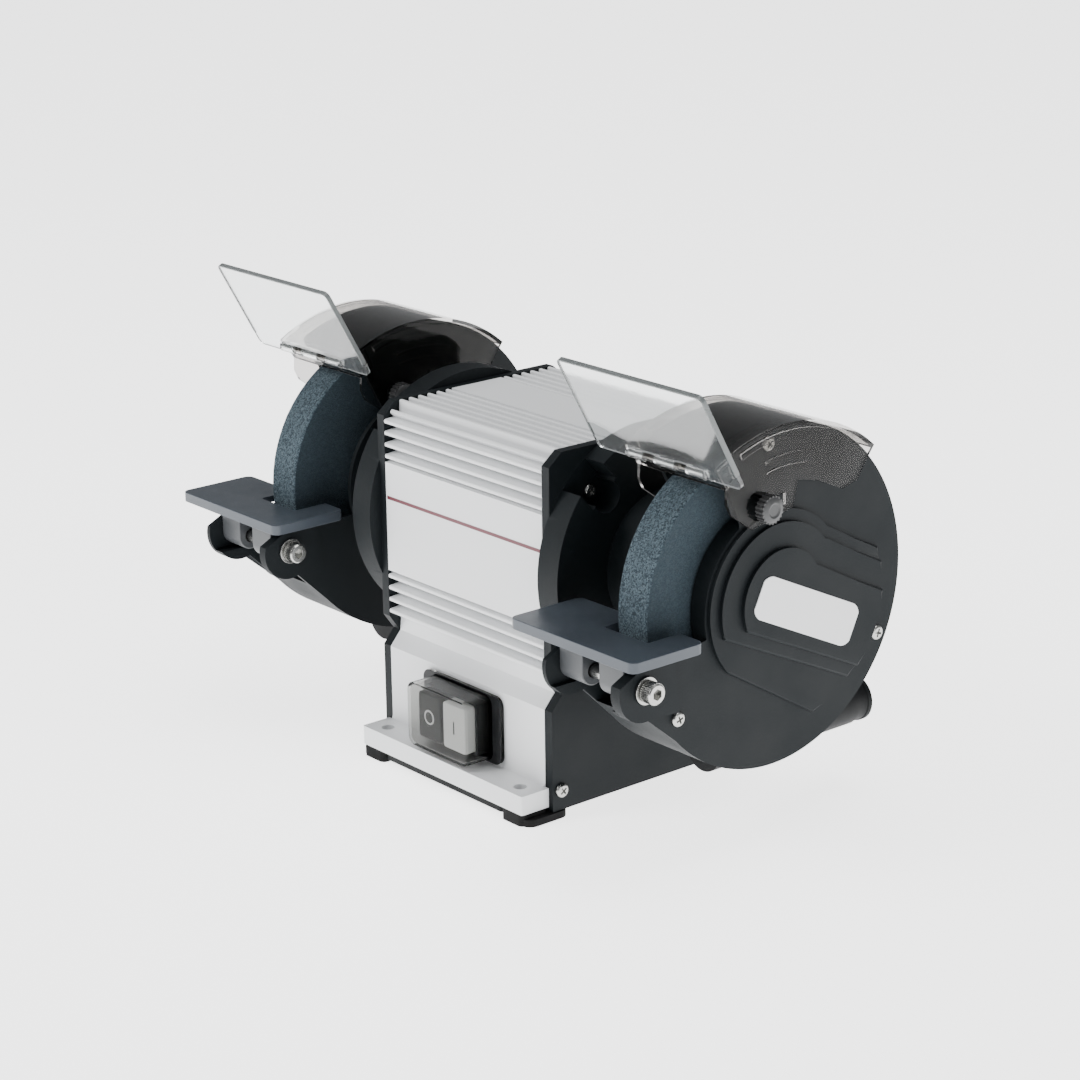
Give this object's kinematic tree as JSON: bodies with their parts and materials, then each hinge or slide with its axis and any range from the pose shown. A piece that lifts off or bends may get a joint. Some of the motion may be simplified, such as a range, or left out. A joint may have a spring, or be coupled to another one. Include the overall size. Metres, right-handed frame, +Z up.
{
  "type": "bench grinder",
  "caption": "Double-ended bench grinder: finned motor on a flanged base, guarded wheels, tilting tool rests, spark hoods and clear eye shields.",
  "frame": {"origin": "middle of the base, on the ground the feet stand on", "axes": "+X along the spindle towards the wheel on the operator's right, -Y towards the operator, +Z up"},
  "size_m": [0.4678, 0.235, 0.2965],
  "materials": {
    "white_coated_aluminium": "white powder coat, satin",
    "anthracite_casting": "anthracite powder coat, fine texture",
    "black_base": "black, matte",
    "rubber": "black rubber",
    "grinding_grit": "blue-grey bonded abrasive",
    "rest_blue_grey": "blue-grey coat, satin",
    "bright_steel": "bright zinc-plated steel",
    "copper_winding": "varnished copper wire",
    "lamination": "stacked electrical steel",
    "clear_plastic": "clear polycarbonate",
    "smoked_plastic": "smoked clear polycarbonate",
    "knob_grey": "dark grey plastic",
    "switch_dark": "dark moulded plastic",
    "switch_white": "white moulded plastic"
  },
  "bodies": {
    "grinder_frame": {"motor_housing": "white_coated_aluminium", "base_sheet": "black_base", "foot_front_left": "rubber", "foot_rear_left": "rubber", "foot_front_right": "rubber", "foot_rear_right": "rubber", "end_cover_left": "anthracite_casting", "guard_shell_left": "anthracite_casting", "guard_cover_left": "anthracite_casting", "dust_spout_left": "black_base", "rest_bolt_left": "bright_steel", "rest_washer_left": "bright_steel", "rest_nut_left": "bright_steel", "hood_knob_left": "knob_grey", "winding_left": "copper_winding", "bearing_outer_left": "bright_steel", "end_cover_right": "anthracite_casting", "guard_shell_right": "anthracite_casting", "guard_cover_right": "anthracite_casting", "dust_spout_right": "black_base", "rest_bolt_right": "bright_steel", "rest_washer_right": "bright_steel", "rest_nut_right": "bright_steel", "hood_knob_right": "knob_grey", "winding_right": "copper_winding", "bearing_outer_right": "bright_steel", "stator_core": "lamination", "capacitor": "switch_white", "terminal_block": "switch_white", "cable_gland": "black_base", "switch_boot": "smoked_plastic", "switch_body": "switch_dark"},
    "spindle_group": {"spindle": "bright_steel", "rotor_core": "lamination", "wheel_left": "grinding_grit", "wheel_right": "grinding_grit", "wheel_flange_inner_left": "bright_steel", "wheel_flange_inner_right": "bright_steel", "wheel_flange_outer_left": "bright_steel", "wheel_flange_outer_right": "bright_steel", "spindle_nut_left": "bright_steel", "spindle_nut_right": "bright_steel", "bearing_inner_left": "bright_steel", "bearing_inner_right": "bright_steel"},
    "rest_left": {"tool_rest_left": "rest_blue_grey"},
    "hood_left": {"spark_hood_left": "smoked_plastic", "shield_pin_left": "bright_steel"},
    "shield_left": {"eye_shield_left": "clear_plastic"},
    "rest_right": {"tool_rest_right": "rest_blue_grey"},
    "hood_right": {"spark_hood_right": "smoked_plastic", "shield_pin_right": "bright_steel"},
    "shield_right": {"eye_shield_right": "clear_plastic"},
    "stop_key": {"stop_button": "switch_dark"},
    "start_key": {"start_button": "switch_white"}
  },
  "joints": [
    {"name": "spindle_spin", "type": "hinge", "parent": "grinder_frame", "child": "spindle_group", "pos_m": [0, 0, 0.154], "axis": [1, 0, 0], "continuous": true},
    {"name": "rest_left_tilt", "type": "hinge", "parent": "grinder_frame", "child": "rest_left", "pos_m": [-0.17, -0.107, 0.126], "axis": [1, 0, 0], "range_deg": [-2, 30]},
    {"name": "hood_left_swing", "type": "hinge", "parent": "grinder_frame", "child": "hood_left", "pos_m": [-0.17, 0, 0.154], "axis": [1, 0, 0], "range_deg": [-2, 12]},
    {"name": "shield_left_tilt", "type": "hinge", "parent": "hood_left", "child": "shield_left", "pos_m": [-0.17, -0.05972, 0.24108], "axis": [1, 0, 0], "range_deg": [-50, 20]},
    {"name": "rest_right_tilt", "type": "hinge", "parent": "grinder_frame", "child": "rest_right", "pos_m": [0.17, -0.107, 0.126], "axis": [1, 0, 0], "range_deg": [-2, 30]},
    {"name": "hood_right_swing", "type": "hinge", "parent": "grinder_frame", "child": "hood_right", "pos_m": [0.17, 0, 0.154], "axis": [1, 0, 0], "range_deg": [-2, 12]},
    {"name": "shield_right_tilt", "type": "hinge", "parent": "hood_right", "child": "shield_right", "pos_m": [0.17, -0.05972, 0.24108], "axis": [1, 0, 0], "range_deg": [-50, 20]},
    {"name": "stop_press", "type": "slide", "parent": "grinder_frame", "child": "stop_key", "axis": [0, 1, 0], "range_m": [0, 0.004], "stiffness_N_per_m": 400, "springref_m": -0.002},
    {"name": "start_press", "type": "slide", "parent": "grinder_frame", "child": "start_key", "axis": [0, 1, 0], "range_m": [0, 0.004], "stiffness_N_per_m": 400, "springref_m": -0.002}
  ]
}
